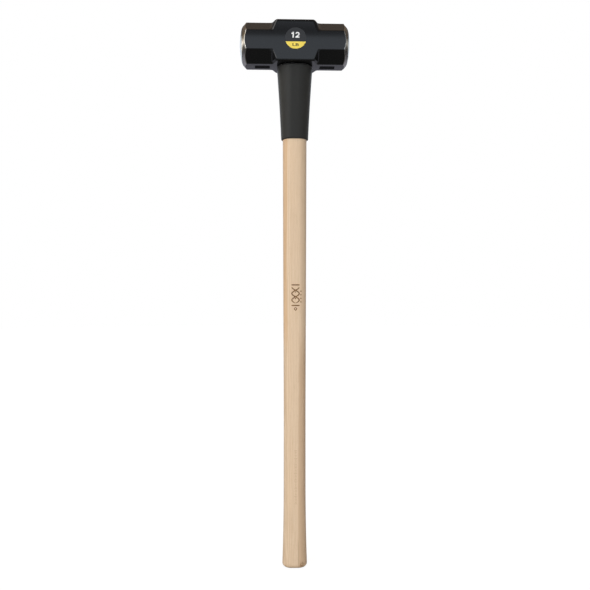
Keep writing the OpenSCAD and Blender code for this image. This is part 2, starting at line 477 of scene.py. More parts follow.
def head_body(name, columns=288):
    """The painted part of the head: one sleeve of the forged surface between the paint lines.

    Each row is a station along the head, closest together over panels and shoulders, and
    each column an angle round it. Both ends run straight back to the axis inside the steel
    ends, which closes the piece."""
    angle = poll_angles(columns)[None, :]
    stretches = ((1, 0.83, 8), (0.83, 0.50, 46), (0.50, 0.34, 26))
    stations = [np.linspace(*stretch, endpoint=False) for stretch in stretches]
    stations = np.concatenate([*stations, np.linspace(0.34, 0, 14)])[:, None]
    right = paint_line(angle, 1)
    left = paint_line(angle, -1)
    inside = np.linspace(0, 1, 5)[:-1, None]
    end_right = closing_x(right, inside)
    end_left = closing_x(left, inside)
    x = np.concatenate([stations * right, -stations[-2::-1] * left])
    radius = head_radius(x, angle)
    x = np.concatenate([end_right, x, -end_left[::-1]])
    radius = np.concatenate([inside * radius[:1], radius, inside[::-1] * radius[-1:]])
    points = head_point(x, radius, angle)
    below = HEAD_MID - points[..., 2]
    under = (below > HEAD_HALF_W - 2) & (np.abs(points[..., 1]) < PANEL_HALF[1] + 2)
    points[..., 2] += np.where(under, panel_depth(points[..., 0], points[..., 1]), 0)
    return make_mesh(name, points, grid_faces(len(points), columns), crease=28)


def eye_cutter():
    """The hole for the handle: an oval hourglass with a small chamfer at its upper mouth."""
    past = 4
    mouth_r = EYE_TOP_R + EYE_MOUTH_CHAMFER + 1
    radius = [0, EYE_LOW_R, EYE_LOW_R, EYE_WAIST_R, EYE_TOP_R - EYE_MOUTH_CHAMFER / 8,
              mouth_r, mouth_r, 0]
    height = [HEAD_LOW - past, HEAD_LOW - past, HEAD_LOW, HEAD_MID,
              HEAD_TOP - EYE_MOUTH_CHAMFER, HEAD_TOP + 1, HEAD_TOP + past, HEAD_TOP + past]
    points = oval_sweep(radius, height)
    return make_mesh("eye_cutter", points, grid_faces(len(points), points.shape[1]))


# ---------------------------------------------------------------- handle, guard and wedges
def eye_wall_r(height, gap):
    """Radius of the eye's wall at a height, less a gap."""
    return np.interp(height, [HEAD_LOW, HEAD_MID, HEAD_TOP],
                     [EYE_LOW_R, EYE_WAIST_R, EYE_TOP_R]) - gap


def shaft_profile():
    """(radius, height) up the handle: domed butt, flare, grip, neck, shoulder and tongue."""
    edge_r = BUTT_R - BUTT_ROUND
    edge_turn = math.degrees(math.asin(edge_r / (BUTT_DOME - BUTT_ROUND)))
    edge_z = BUTT_DOME - (BUTT_DOME - BUTT_ROUND) * math.cos(math.radians(edge_turn))
    dome = arc_profile((0, BUTT_DOME), BUTT_DOME, -90, edge_turn - 90, 7)
    edge = arc_profile((edge_r, edge_z), BUTT_ROUND, edge_turn - 90, 0, 13)
    flare_z = np.linspace(edge_z, GRIP_LOW, 34)[1:]
    flare_s = 1 - ((GRIP_LOW - flare_z) / (GRIP_LOW - edge_z)) ** 2
    grip_z = np.linspace(GRIP_LOW, GRIP_HIGH, 22)[1:]
    neck_z = np.linspace(GRIP_HIGH, GUARD_LOW, 76)[1:]
    neck_s = (neck_z - GRIP_HIGH) / (GUARD_LOW - GRIP_HIGH)
    shoulder_z = HEAD_LOW - SHOULDER_STEP
    under_guard = ([NECK_R, LEDGE_R], [HEAD_LOW - NECK_TAPER, shoulder_z])
    tongue_z = np.linspace(shoulder_z, HANDLE_END - TONGUE_EDGE, 12)
    tongue = (eye_wall_r(tongue_z, EYE_GAP), tongue_z)
    end_r = eye_wall_r(HANDLE_END, EYE_GAP) - TONGUE_EDGE
    end = (end_r - np.linspace(0, 1, 8) * end_r, np.full(8, HANDLE_END))
    return join_profiles(dome, edge, (BUTT_R + (GRIP_R - BUTT_R) * flare_s, flare_z),
                         (np.full(len(grip_z), GRIP_R), grip_z),
                         (GRIP_R + (NECK_R - GRIP_R) * neck_s, neck_z),
                         under_guard, tongue, end)


def shaft_front(x, height):
    """How far the handle's front surface lies in front of its axis, at x and a height."""
    radius, level = shaft_profile()
    rising = level < HEAD_LOW - NECK_TAPER
    here = np.interp(height, level[rising], radius[rising])
    past_flat = np.maximum(np.abs(x) - OVAL_FLAT, 0)
    return np.sqrt(np.maximum(here ** 2 - past_flat ** 2, 0))


def tapered_wedge(name, centre_x, half_x, half_y, height, corner):
    """A wedge as a rounded rectangle carried up a list of half widths, with closed ends.

    The outline is a superellipse: each coordinate is the half width times the cosine or
    sine raised to a small power, so the corners are only just rounded."""
    around = np.linspace(0, 2 * math.pi, 96, endpoint=False)[None, :]
    shape_x = np.sign(np.cos(around)) * np.abs(np.cos(around)) ** corner
    shape_y = np.sign(np.sin(around)) * np.abs(np.sin(around)) ** corner
    x = centre_x + np.asarray(half_x, dtype=float)[:, None] * shape_x
    y = np.asarray(half_y, dtype=float)[:, None] * shape_y
    z = np.asarray(height, dtype=float)[:, None] + 0 * x
    points = np.stack([x, y, z], -1)
    return make_mesh(name, points, grid_faces(len(points), around.size))


def steel_wedge_piece(name, side, grow=0.0, past=0.0):
    """One steel wedge across the tongue, with a slightly spread, struck top.

    Where it goes past the tongue's end it is the cutter for its slot, with no chamfer."""
    chamfer = 0 if past else STRUCK_CHAMFER
    top = HANDLE_END + past
    wide = STEEL_WEDGE_TOP / 2
    deep = STEEL_WEDGE_W / 2
    height = [HANDLE_END - STEEL_WEDGE_LEN] * 2 + [HANDLE_END - STRUCK_DEPTH,
                                                  top - STRUCK_LIP, top, top]
    half_x = [0, STEEL_WEDGE_TIP / 2, wide - STRUCK_SPREAD, wide, wide - chamfer, 0]
    half_y = [0, deep, deep, deep, deep - chamfer, 0]
    half_x = [0 if h == 0 else h + grow for h in half_x]
    half_y = [0 if h == 0 else h + grow for h in half_y]
    return tapered_wedge(name, side * STEEL_WEDGE_X, half_x, half_y, height, 0.12)


def wood_wedge_piece(name, past=0.0, reach=0.0):
    """The wooden wedge along the head, from side to side of the eye.

    For its slot's cutter it goes past the tongue's end and reaches out through its sides."""
    levels = np.linspace(HANDLE_END - WOOD_WEDGE_LEN, HANDLE_END, 8)
    thick = np.linspace(WOOD_WEDGE_TIP, WOOD_WEDGE_TOP, 8) / 2
    wide = OVAL_FLAT + eye_wall_r(levels, EYE_GAP) - 0.3 + reach
    height = np.concatenate([levels[:1], levels, levels[-1:] + past, levels[-1:] + past])
    half_x = np.concatenate([[0], wide, wide[-1:], [0]])
    half_y = np.concatenate([[0], thick, thick[-1:], [0]])
    return tapered_wedge(name, 0, half_x, half_y, height, 0.1)


def guard_profile():
    """The guard's closed (radius, height) loop: lip, tapering wall, shoulder and bore."""
    lip_centre = (GUARD_LOW_R - GUARD_LIP_ROUND, GUARD_LOW + GUARD_LIP_ROUND)
    lip = arc_profile(lip_centre, GUARD_LIP_ROUND, -90, 0, 9)
    top_centre = (GUARD_TOP_R - GUARD_TOP_ROUND, HEAD_LOW - GUARD_TOP_ROUND)
    top = arc_profile(top_centre, GUARD_TOP_ROUND, 0, 90, 11)
    wall_z = np.linspace(lip_centre[1], top_centre[1], 62)[1:-1]
    wall_t = (wall_z - lip_centre[1]) / (top_centre[1] - lip_centre[1])
    wall_r = (GUARD_LOW_R + (GUARD_TOP_R - GUARD_LOW_R) * wall_t
              - 4 * GUARD_WAIST * wall_t * (1 - wall_t))
    bore_z = np.linspace(HEAD_LOW, GUARD_LOW, 16)
    bore = (np.full(16, NECK_R + GUARD_GAP), bore_z)
    return join_profiles(lip, (wall_r, wall_z), top, bore)


# ---------------------------------------------------------------- label and handle marks
def cheek_front(z):
    """How far the crowned front cheek lies in front of the handle's axis, at a height."""
    return HEAD_HALF_W - cheek_sag(z - HEAD_MID)


def film(name, x, z, back, front):
    """A thin closed film on the front cheek from a grid of x and z, once round in columns.

    The front layer stands off the cheek by front and the back layer by back. Rows run
    from the middle out, over the edge and back to the middle."""
    x = np.concatenate([x, x[::-1]])
    z = np.concatenate([z, z[::-1]])
    rows = len(x) // 2
    lift = np.where(np.arange(2 * rows)[:, None] < rows, front, back)
    y = -(cheek_front(z) + lift)
    points = np.stack([x, y, z], -1)
    return make_mesh(name, points, grid_faces(len(points), points.shape[1]), crease=40)


def disc_film(name, radius, back, front, columns=96):
    """A round film in the label's place."""
    turn = np.linspace(0, 2 * math.pi, columns, endpoint=False)[None, :]
    reach = np.linspace(0, radius, 9)[:, None]
    return film(name, LABEL_X + reach * np.cos(turn), LABEL_Z + reach * np.sin(turn),
                back, front)


def bowl_film(name, half_chord, depth, chord_z, back, front, columns=96):
    """A round segment that hangs below a level chord, by its half width and depth.

    The circle's radius is the half width squared plus the depth squared, over twice the
    depth."""
    radius = (half_chord ** 2 + depth ** 2) / (2 * depth)
    half = math.asin(half_chord / radius)
    turn = -math.pi / 2 + np.linspace(-half, half, columns // 2)
    edge_x = radius * np.cos(turn)
    edge_z = chord_z - depth + radius + radius * np.sin(turn)
    chord_x = np.linspace(edge_x[-1], edge_x[0], columns // 2 + 2)[1:-1]
    edge_x = np.concatenate([edge_x, chord_x])[None, :]
    edge_z = np.concatenate([edge_z, np.full(chord_x.size, chord_z)])[None, :]
    middle_z = chord_z - depth / 2
    reach = np.linspace(0, 1, 9)[:, None]
    return film(name, LABEL_X + reach * edge_x, middle_z + reach * (edge_z - middle_z),
                back, front)


def cheek_strips(name, paths, half_width, slant, back, front):
    """Printed strokes on the cheek: flat closed strips of even width along paths.

    Each path is x and z about the label's middle. A strip's section is a flat rectangle
    square to the path, and both its ends shrink to a point, which closes them."""
    side = np.array([-1, 1, 1, -1]) * half_width
    grids = []
    for x, z in paths:
        across_x, across_z = (np.pad(part, 1) for part in across_path(x, z))
        x = np.concatenate([x[:1], x, x[-1:]])
        z = np.concatenate([z[:1], z, z[-1:]])
        line_x = x[:, None] + side * across_x[:, None]
        line_z = LABEL_Z + z[:, None] + side * across_z[:, None]
        line_x = LABEL_X + line_x + slant * (line_z - LABEL_Z)
        lift = np.tile([front, front, back, back], (len(x), 1))
        lift[[0, -1]] = (front + back) / 2
        grids.append(np.stack([line_x, -(cheek_front(line_z) + lift), line_z], -1))
    return join_grids(name, grids, crease=30)


def number_paths(low, high, weight):
    """Centre lines of a plain 1 and 2 between two heights, by the stroke's half width.

    The 1 is a stem and a flag. The 2 is an arc over the top that runs into a straight
    slope, and a level foot."""
    top = high - weight
    foot = low + weight
    stem = -4.4
    one = [(np.full(9, stem), np.linspace(low, high, 9)),
           (np.linspace(stem + 0.3, stem - 3.0, 7), np.linspace(top - 0.1, top - 2.2, 7))]
    bend_r = 2.5
    bend_x = 2.6
    turn = np.radians(np.linspace(178, -38, 25))
    bend_z = high - weight - bend_r
    hook_x = bend_x + bend_r * np.cos(turn)
    hook_z = bend_z + bend_r * np.sin(turn)
    tail_x = np.linspace(hook_x[-1], bend_x - 2.3, 9)[1:]
    tail_z = np.linspace(hook_z[-1], foot, 9)[1:]
    two = [(np.concatenate([hook_x, tail_x]), np.concatenate([hook_z, tail_z])),
           (np.linspace(bend_x - 3.3, bend_x + 3.4, 9), np.full(9, foot))]
    return one + two


def rule_film(name, low_z, high_z, back, front):
    """A straight narrow film across the label, between two heights."""
    x = np.linspace(-RULE_HALF_WIDTH, RULE_HALF_WIDTH, 25)
    z = np.full(25, (low_z + high_z) / 2 - LABEL_Z)
    return cheek_strips(name, [(x, z)], (high_z - low_z) / 2, 0, back, front)


def lettering(name, words, low_z, high_z, back, front):
    """Plain printed letters on the cheek, fitted between two heights and to their width."""
    curve = bpy.data.curves.new(name, "FONT")
    curve.body = words
    curve.offset = UNIT_WEIGHT
    curve.extrude = 0.02
    curve.resolution_u = 6
    maker = link_object(name, curve)
    bpy.context.view_layer.update()
    graph = bpy.context.evaluated_depsgraph_get()
    mesh = bpy.data.meshes.new_from_object(maker.evaluated_get(graph))
    bpy.data.objects.remove(maker)
    flat = np.empty(len(mesh.vertices) * 3)
    mesh.vertices.foreach_get("co", flat)
    flat = flat.reshape(-1, 3)
    low, high = flat.min(0), flat.max(0)
    share = (flat - low) / (high - low)
    x = LABEL_X + (share[:, 0] - 0.5) * UNIT_WIDTH
    z = low_z + share[:, 1] * (high_z - low_z)
    y = -(cheek_front(z) + back + share[:, 2] * (front - back))
    mesh.vertices.foreach_set("co", (np.stack([x, y, z], -1) * MM).ravel())
    close_mesh(mesh, LETTER_MERGE_DISTANCE)
    mesh.set_sharp_from_angle(angle=math.radians(30))
    return link_object(name, mesh)


def burnt_stroke(x, z, half_width):
    """One burnt line on the handle's front: a flat strip along a path, sunk at its edges.

    Across the strip the surface rises and falls as a shallow arch, and it goes down into
    the wood at both sides and ends, so no edge of it shows."""
    arch = 0.09
    sink = 0.02
    across_x, across_z = across_path(x, z)
    taper = np.sqrt(np.clip(1 - np.linspace(-1, 1, x.size) ** 8, 0, 1))
    turn = np.linspace(0, 2 * math.pi, 12, endpoint=False)[None, :]
    wide = (half_width * taper)[:, None] * np.cos(turn)
    rise = arch * (taper[:, None] * np.sin(turn)) - sink
    line_x = x[:, None] + wide * across_x[:, None]
    line_z = z[:, None] + wide * across_z[:, None]
    y = -(shaft_front(line_x, line_z) + rise)
    return np.stack([line_x, y, line_z], -1)


def level_stroke(middle, half, level, half_width, count):
    """A level burnt line by its middle, half length, height and half width."""
    return np.linspace(middle - half, middle + half, count), np.full(count, level), half_width


def twist_mark():
    """A plain twist of two strands between two bars, a lozenge under it and beads beside it.

    The strands are a cosine and its mirror image over two and a half half turns."""
    top = 475.0
    bottom = 447.6
    middle = 1.0
    swing = 6.2
    share = np.linspace(0, 1, 61)
    z = top + (bottom - top) * share
    strokes = [(middle + side * swing * np.cos(2.5 * np.pi * share), z, 1.05)
               for side in (-1, 1)]
    strokes += [level_stroke(middle, 7.2, level, 1.15, 21) for level in (478.6, 444.0)]
    strokes += [level_stroke(middle, 1.2, level, 0.95, 11) for level in (466.6, 455.7)]
    corner = np.linspace(0, 4, 41)
    lozenge_x = np.interp(corner, range(5), [0, 2.3, 0, -2.3, 0])
    lozenge_z = np.interp(corner, range(5), [2.7, 0, -2.7, 0, 2.7])
    strokes.append((middle + lozenge_x, 438.3 + lozenge_z, 0.75))
    strokes += [level_stroke(10.1, 1.1, bead, 1.0, 9) for bead in np.linspace(468, 450, 4)]
    return strokes


def rule_ticks():
    """A faint row of short level ticks down the grip, every fifth one longer."""
    top = 199.0
    pitch = 2.55
    halves = [2.9 if i % 5 == 0 else 1.5 + 0.5 * math.sin(i * 2.4) for i in range(36)]
    return [level_stroke(1.4, half, top - pitch * i, 0.36, 13) for i, half in enumerate(halves)]


# ---------------------------------------------------------------- shader helpers
class Value:
    """A shader socket. Arithmetic on it adds the Math nodes that work the sum out."""

    def __init__(self, maker, socket):
        self.maker = maker
        self.socket = socket

    def math(self, operation, *others):
        """One Math node on this value and up to two others."""
        return self.maker.calculate(operation, self, *others)

    def __add__(self, other):
        return self.math("ADD", other)

    __radd__ = __add__

    def __mul__(self, other):
        return self.math("MULTIPLY", other)

    __rmul__ = __mul__

    def __sub__(self, other):
        return self.math("SUBTRACT", other)

    def __rsub__(self, other):
        return self.maker.calculate("SUBTRACT", other, self)

    def __truediv__(self, other):
        return self.math("DIVIDE", other)

    def __rtruediv__(self, other):
        return self.maker.calculate("DIVIDE", other, self)

    def __neg__(self):
        return 0.0 - self

    def __abs__(self):
        return self.math("ABSOLUTE")

    def at_least(self, other):
        """The larger of this value and another."""
        return self.math("MAXIMUM", other)

    def at_most(self, other):
        """The smaller of this value and another."""
        return self.math("MINIMUM", other)

    def rise(self, low, high):
        """0 below low, 1 above high, and a soft step between."""
        settings = {"interpolation_type": "SMOOTHSTEP"}
        inputs = {"Value": self, "From Min": low, "From Max": high}
        return self.maker.node("ShaderNodeMapRange", settings, inputs)


class Nodes:
    """Makes the nodes of one material or world."""

    def __init__(self, owner):
        owner.use_nodes = True
        self.tree = owner.node_tree
        self.tree.nodes.clear()

    def node(self, kind, settings=None, inputs=None, output=0):
        """Adds a node: its settings first, then the values or links of its sockets."""
        made = self.tree.nodes.new(kind)
        for key, value in (settings or {}).items():
            setattr(made, key, value)
        for key, value in (inputs or {}).items():
            if isinstance(value, Value):
                self.tree.links.new(value.socket, made.inputs[key])
            else:
                made.inputs[key].default_value = value
        return Value(self, made.outputs[output])

    def calculate(self, operation, *values):
        """One Math node on up to three values."""
        return self.node("ShaderNodeMath", {"operation": operation}, dict(enumerate(values)))

    def object_mm(self):
        """The place on the piece, in millimetres."""
        place = self.node("ShaderNodeTexCoord", output="Object")
        return self.node("ShaderNodeVectorMath", {"operation": "SCALE"},
                         {0: place, "Scale": 1 / MM})

    def parts(self, vector):
        """The three parts of a vector."""
        split = self.node("ShaderNodeSeparateXYZ", inputs={0: vector}).socket.node
        return [Value(self, socket) for socket in split.outputs]

    def noise(self, place, scale=1.0, shift=(0.0, 0.0, 0.0), detail=2.0, roughness=0.5):
        """Soft noise from 0 to 1, by its lumps for each millimetre, in all or each direction.

        A smaller scale one way makes the pattern longer that way. The shift gives each
        pattern its own stretch of the noise."""
        scale = np.broadcast_to(scale, 3).tolist()
        vector = self.node("ShaderNodeVectorMath", {"operation": "MULTIPLY_ADD"},
                           {0: place, 1: scale, 2: shift})
        inputs = {"Vector": vector, "Scale": 1.0, "Detail": detail, "Roughness": roughness}
        return self.node("ShaderNodeTexNoise", inputs=inputs)

    def mix(self, share, first, second):
        """A colour between two colours."""
        inputs = {0: share, 6: self.colour(first), 7: self.colour(second)}
        return self.node("ShaderNodeMix", {"data_type": "RGBA"}, inputs, output=2)

    @staticmethod
    def colour(value):
        """A plain colour gets its fourth part."""
        return value if isinstance(value, Value) else (*value, 1.0)

    def bump(self, height, strength):
        """A bump from a height in millimetres."""
        inputs = {"Height": height, "Distance": MM, "Strength": strength}
        return self.node("ShaderNodeBump", inputs=inputs)

    def surface(self, **sockets):
        """The Principled shader, named sockets given with underscores for spaces."""
        inputs = {key.replace("_", " "): value for key, value in sockets.items()}
        if "Sheen Tint" in inputs:
            inputs["Sheen Tint"] = self.colour(inputs["Sheen Tint"])
        return self.node("ShaderNodeBsdfPrincipled", inputs=inputs)

    def join(self, surface, kind):
        """Joins the finished surface to an output node of that kind."""
        out = self.tree.nodes.new(kind)
        self.tree.links.new(surface.socket, out.inputs["Surface"])


class MaterialNodes(Nodes):
    """The nodes of one new material."""

    def __init__(self, name):
        self.material = bpy.data.materials.new(name)
        super().__init__(self.material)

    def done(self, surface):
        """Joins the surface to the output and gives the finished material back."""
        self.join(surface, "ShaderNodeOutputMaterial")
        return self.material


# ---------------------------------------------------------------- materials
def black_paint():
    """Black baked paint under a glossy skin: faint orange peel, forging waves, dust and specks.

    In the stamped panels under the polls the paint is thick, dead matte and darker."""
    m = MaterialNodes("black_paint")
    place = m.object_mm()
    x, y, z = m.parts(place)
    broad = m.noise(place, 0.03, detail=3)
    dust = m.noise(place, 0.5, (7, 3, 1), detail=5, roughness=0.65)
    speck = m.noise(place, 2.2, detail=2).rise(0.72, 0.80)
    peel = m.noise(place, 0.9, detail=1)
    forge = m.noise(place, 0.09, (2, 8, 5), detail=2)
    along = abs(abs(x) - PANEL_X)
    stamped = ((1.0 - along.rise(PANEL_HALF[0] - 0.7, PANEL_HALF[0] + 0.3))
               * (1.0 - abs(y).rise(PANEL_HALF[1] - 0.7, PANEL_HALF[1] + 0.3))
               * (1.0 - z.rise(HEAD_LOW + 1, HEAD_LOW + 3)))
    tone = m.mix(broad, (0.0036, 0.0037, 0.0041), (0.0058, 0.0059, 0.0064))
    tone = m.mix(dust.rise(0.55, 0.8) * 0.4, tone, (0.013, 0.0133, 0.0142))
    tone = m.mix(speck * 0.3, tone, (0.035, 0.035, 0.036))
    tone = m.mix(stamped * 0.7, tone, (0.002, 0.002, 0.002))
    rough = 0.5 + dust * 0.12 + speck * 0.1 + stamped * 0.3
    height = peel * 0.012 + forge * 0.10
    return m.done(m.surface(
        Base_Color=tone, Roughness=rough, Normal=m.bump(height, 0.5),
        Specular_IOR_Level=0.05, Coat_Weight=(1.0 - dust * 0.10) * (1.0 - stamped * 0.9),
        Coat_Roughness=0.085, Coat_IOR=1.5))


def ground_steel():
    """Bare steel ground on its face and bevel, with a thin bronze lacquer, pits and scratches.

    The grinding marks are noise on radius and angle, so they run in rings. The bronze tint is laid
    on more towards the top: partly lacquer, partly painted warm reflection of the light from
    above."""
    m = MaterialNodes("ground_steel")
    place = m.object_mm()
    x, y, z = m.parts(place)
    up = z - HEAD_MID
    radius = (y * y + up * up).math("SQRT")
    turn = up.math("ARCTAN2", y)
    polar = m.node("ShaderNodeCombineXYZ", inputs={0: radius * 3.0, 1: turn * 4.0, 2: x * 0.6})
    rings = m.noise(polar, detail=4, roughness=0.6)
    scratches = m.noise(place, (0.4, 0.15, 3.5), (5, 2, 9), detail=4, roughness=0.7)
    stain = m.noise(place, 0.07, (1, 4, 2), detail=4, roughness=0.6)
    # Painted reflection: the bronze tint grows towards the top of each end and stands in for the
    # warm light it reflects from above. The noise stain under it is the lacquer.
    lacquer = (stain + up * 0.006).rise(0.36, 0.72)
    tone = m.mix(lacquer, (0.60, 0.585, 0.56), (0.47, 0.41, 0.32))
    tone = m.mix(rings.rise(0.45, 0.75) * 0.5, tone, (0.30, 0.27, 0.22))
    pit = m.noise(place, 1.1, (3, 3, 3), detail=3).rise(0.70, 0.80)
    tone = m.mix(pit * 0.6, tone, (0.12, 0.09, 0.06))
    rough = 0.15 + rings * 0.14 + pit * 0.25 + scratches * 0.08
    height = rings * 0.02 + scratches * 0.012 - pit * 0.03
    return m.done(m.surface(Base_Color=tone, Metallic=1.0, Roughness=rough,
                            Normal=m.bump(height, 0.7)))


def wedge_steel():
    """Dull mild steel, dark in the hollows and hammered on top."""
    m = MaterialNodes("wedge_steel")
    place = m.object_mm()
    dents = m.noise(place, 0.6, (4, 1, 2), detail=3)
    rust = m.noise(place, 0.35, (8, 5, 2), detail=5, roughness=0.7)
    tone = m.mix(dents, (0.20, 0.20, 0.205), (0.42, 0.415, 0.405))
    tone = m.mix(rust.rise(0.55, 0.75) * 0.7, tone, (0.20, 0.10, 0.05))
    return m.done(m.surface(Base_Color=tone, Metallic=0.9, Roughness=0.35 + rust * 0.3,
                            Normal=m.bump(dents * 0.15, 0.8)))


def hickory(name, light, mid, dark):
    """Straight-grained wood: growth rings round a far-off pith, fibres and open pores.

    Rings are the distance from the pith axis, bent a little by slow noise, so they show as
    lines along the shaft and as arcs on sawn ends. Fibres and pores are noise stretched
    along the shaft."""
    m = MaterialNodes(name)
    place = m.object_mm()
    x, y, z = m.parts(place)
    sway = m.noise(place, (0.018, 0.018, 0.0035), (3, 1, 2), detail=3)
    ripple = m.noise(place, (0.12, 0.12, 0.012), (1, 7, 4), detail=3)
    ring_width = 2.3
    pith_x = x + 96.0
    pith_y = y + 58.0
    depth = (pith_x * pith_x + pith_y * pith_y).math("SQRT") + sway * 9.0 + ripple * 0.9
    ring = (depth / ring_width).math("FRACT")
    early = ring.rise(0.05, 0.45) * (1.0 - ring.rise(0.55, 0.98))
    band = m.noise(m.node("ShaderNodeCombineXYZ", inputs={0: depth * 0.13, 1: z * 0.0006}),
                   detail=2)
    fibre = m.noise(place, (1.6, 1.6, 0.035), detail=5, roughness=0.62)
    fine = m.noise(place, (5.0, 5.0, 0.16), (2, 9, 1), detail=3, roughness=0.6)
    pores = m.noise(place, (3.1, 3.1, 0.11), (6, 2, 8), detail=1).rise(0.66, 0.76)
    cloud = m.noise(place, (0.035, 0.035, 0.006), (9, 4, 1), detail=3)
    tone = m.mix(fibre.rise(0.25, 0.75), mid, light)
    tone = m.mix(band.rise(0.40, 0.70) * 0.55, tone, mid)
    tone = m.mix(early * 0.30, tone, dark)
    tone = m.mix(cloud.rise(0.5, 0.8) * 0.35, tone, (light[0], light[1] * 0.93, light[2] * 0.84))
    tone = m.mix(fine.rise(0.5, 0.8) * 0.22, tone, dark)
    tone = m.mix(pores * 0.40, tone, tuple(c * 0.62 for c in dark))
    height = fibre * 0.03 - pores * 0.06 + fine * 0.012
    rough = 0.50 + fibre * 0.08 + pores * 0.15 - early * 0.04
    return m, place, (x, y, z), tone, rough, height


def handle_wood():
    """The pale lacquered handle, darker where the sawn ends soak the lacquer up.

    On the front it is darker low on the right, partly heartwood and partly painted shade on the
    side turned from the key light, with a brown streak high on the left. A fine dark line goes up
    from the butt just past the right edge of the front flat, and the butt's right edge has a dark
    stain."""
    light, mid, dark = (0.720, 0.565, 0.405), (0.630, 0.465, 0.310), (0.425, 0.270, 0.150)
    m, place, (x, y, z), tone, rough, height = hickory("handle_wood", light, mid, dark)
    wander = m.noise(place, (0.03, 0.03, 0.008), (6, 1, 3), detail=2) * 9.0
    front = 1.0 - y.rise(-6.0, 4.0)
    # Painted shade: low on the right of the front, the side turned from the key light, the wood is
    # darkened, on top of a heartwood tint.
    heartwood_and_shade = (x + wander).rise(9.0, 11.5) * (1.0 - z.rise(330.0, 420.0)) * front
    tone = m.mix(heartwood_and_shade * 0.36, tone, (0.40, 0.235, 0.12))
    sap = (1.0 - (x + wander).rise(-9.5, -7.0)) * z.rise(350.0, 420.0) * front
    tone = m.mix(sap * 0.5, tone, (0.56, 0.33, 0.16))
    # A fine dark line up from the butt, just past the right edge of the front flat.
    from_butt_edge_line = abs(x - 6.2 + (wander - 4.5) * 0.1)
    butt_edge_line = (1.0 - from_butt_edge_line.rise(0.1, 0.55)) * (1.0 - z.rise(40.0, 52.0))
    tone = m.mix(butt_edge_line * front * 0.55, tone, (0.25, 0.14, 0.07))
    butt = 1.0 - z.rise(1.0, 9.0)
    sawn = z.rise(HANDLE_END - 1.5, HANDLE_END - 0.2)
    dots = m.noise(place, (3.4, 3.4, 1.2), (2, 2, 5), detail=2).rise(0.56, 0.70)
    end_tone = m.mix(dots, (0.52, 0.33, 0.17), (0.24, 0.13, 0.06))
    tone = m.mix((butt * 0.45 + sawn).at_most(0.9), tone, end_tone)
    spot_x = (x - 12.0) / 6.0
    spot_z = (z - 7.5) / 5.5
    spot = 1.0 - (spot_x * spot_x + spot_z * spot_z).math("SQRT").rise(0.25, 1.15)
    streak = m.noise(place, (0.55, 0.55, 0.30), (4, 4, 4), detail=4, roughness=0.7)
    tone = m.mix(spot * front * streak.rise(0.42, 0.62) * 0.8, tone, (0.20, 0.095, 0.03))
    lacquer = m.noise(place, (0.05, 0.05, 0.01), (5, 5, 5), detail=2)
    return m.done(m.surface(
        Base_Color=tone, Roughness=rough, Normal=m.bump(height, 0.6),
        Coat_Weight=0.06 + lacquer * 0.08, Coat_Roughness=0.32))


def wedge_wood():
    """The wooden wedge's wood, darker than the handle's."""
    light, mid, dark = (0.50, 0.32, 0.16), (0.40, 0.24, 0.11), (0.25, 0.13, 0.06)
    m, _, _, tone, rough, height = hickory("wedge_wood", light, mid, dark)
    return m.done(m.surface(Base_Color=tone, Roughness=rough + 0.1,
                            Normal=m.bump(height, 0.8)))


def burnt_wood(name, deep, soft):
    """Wood browned by a hot stamp, uneven along the fibres."""
    m = MaterialNodes(name)
    place = m.object_mm()
    fibre = m.noise(place, (1.6, 1.6, 0.035), detail=5, roughness=0.62)
    heat = m.noise(place, (0.4, 0.4, 0.3), (3, 6, 1), detail=3)
    tone = m.mix((fibre * 0.5 + heat * 0.7).rise(0.35, 0.85), deep, soft)
    return m.done(m.surface(Base_Color=tone, Roughness=0.62 + fibre * 0.12,
                            Normal=m.bump(fibre * 0.05, 0.8)))


def guard_rubber():
    """Matte moulded rubber: fine grain, a faint bloom and small scuffs."""
    m = MaterialNodes("guard_rubber")
    place = m.object_mm()
    grain = m.noise(place, 2.4, detail=3, roughness=0.6)
    bloom = m.noise(place, (0.05, 0.05, 0.025), (3, 2, 6), detail=4)
    scuff = m.noise(place, (0.25, 0.25, 1.4), (1, 3, 7), detail=5, roughness=0.7)
    tone = m.mix(bloom, (0.0166, 0.0164, 0.0150), (0.0246, 0.0244, 0.0228))
    tone = m.mix(scuff.rise(0.62, 0.8) * 0.35, tone, (0.050, 0.050, 0.048))
    rough = 0.46 + grain * 0.1 - scuff * 0.06
    return m.done(m.surface(
        Base_Color=tone, Roughness=rough, Normal=m.bump(grain * 0.06, 0.5),
        Sheen_Weight=0.12, Sheen_Roughness=0.4, Sheen_Tint=(0.9, 0.93, 1.0),
        Specular_IOR_Level=0.3))


def label_print(name, low, high, rough, coat):
    """Printed film: even ink with a faint mottle under a clear coat."""
    m = MaterialNodes(name)
    place = m.object_mm()
    mottle = m.noise(place, 1.3, (2, 4, 6), detail=3)
    tone = m.mix(mottle, low, high)
    return m.done(m.surface(
        Base_Color=tone, Roughness=rough + mottle * 0.1, Coat_Weight=coat, Coat_Roughness=0.2,
        Normal=m.bump(mottle * 0.01, 0.4)))


def pale_floor():
    """A plain pale floor that the light leaves almost white, with the faintest shadow."""
    m = MaterialNodes("pale_floor")
    x, y, _ = m.parts(m.object_mm())
    far = (x * x + y * y).math("SQRT").rise(300.0, 1400.0)
    tone = m.mix(far, (0.14, 0.14, 0.14), (0.10, 0.10, 0.10))
    glow = m.mix(far, (0.93, 0.93, 0.93), (1.0, 1.0, 1.0))
    return m.done(m.surface(Base_Color=tone, Roughness=0.9, Specular_IOR_Level=0.0,
                            Emission_Color=glow, Emission_Strength=1.0))


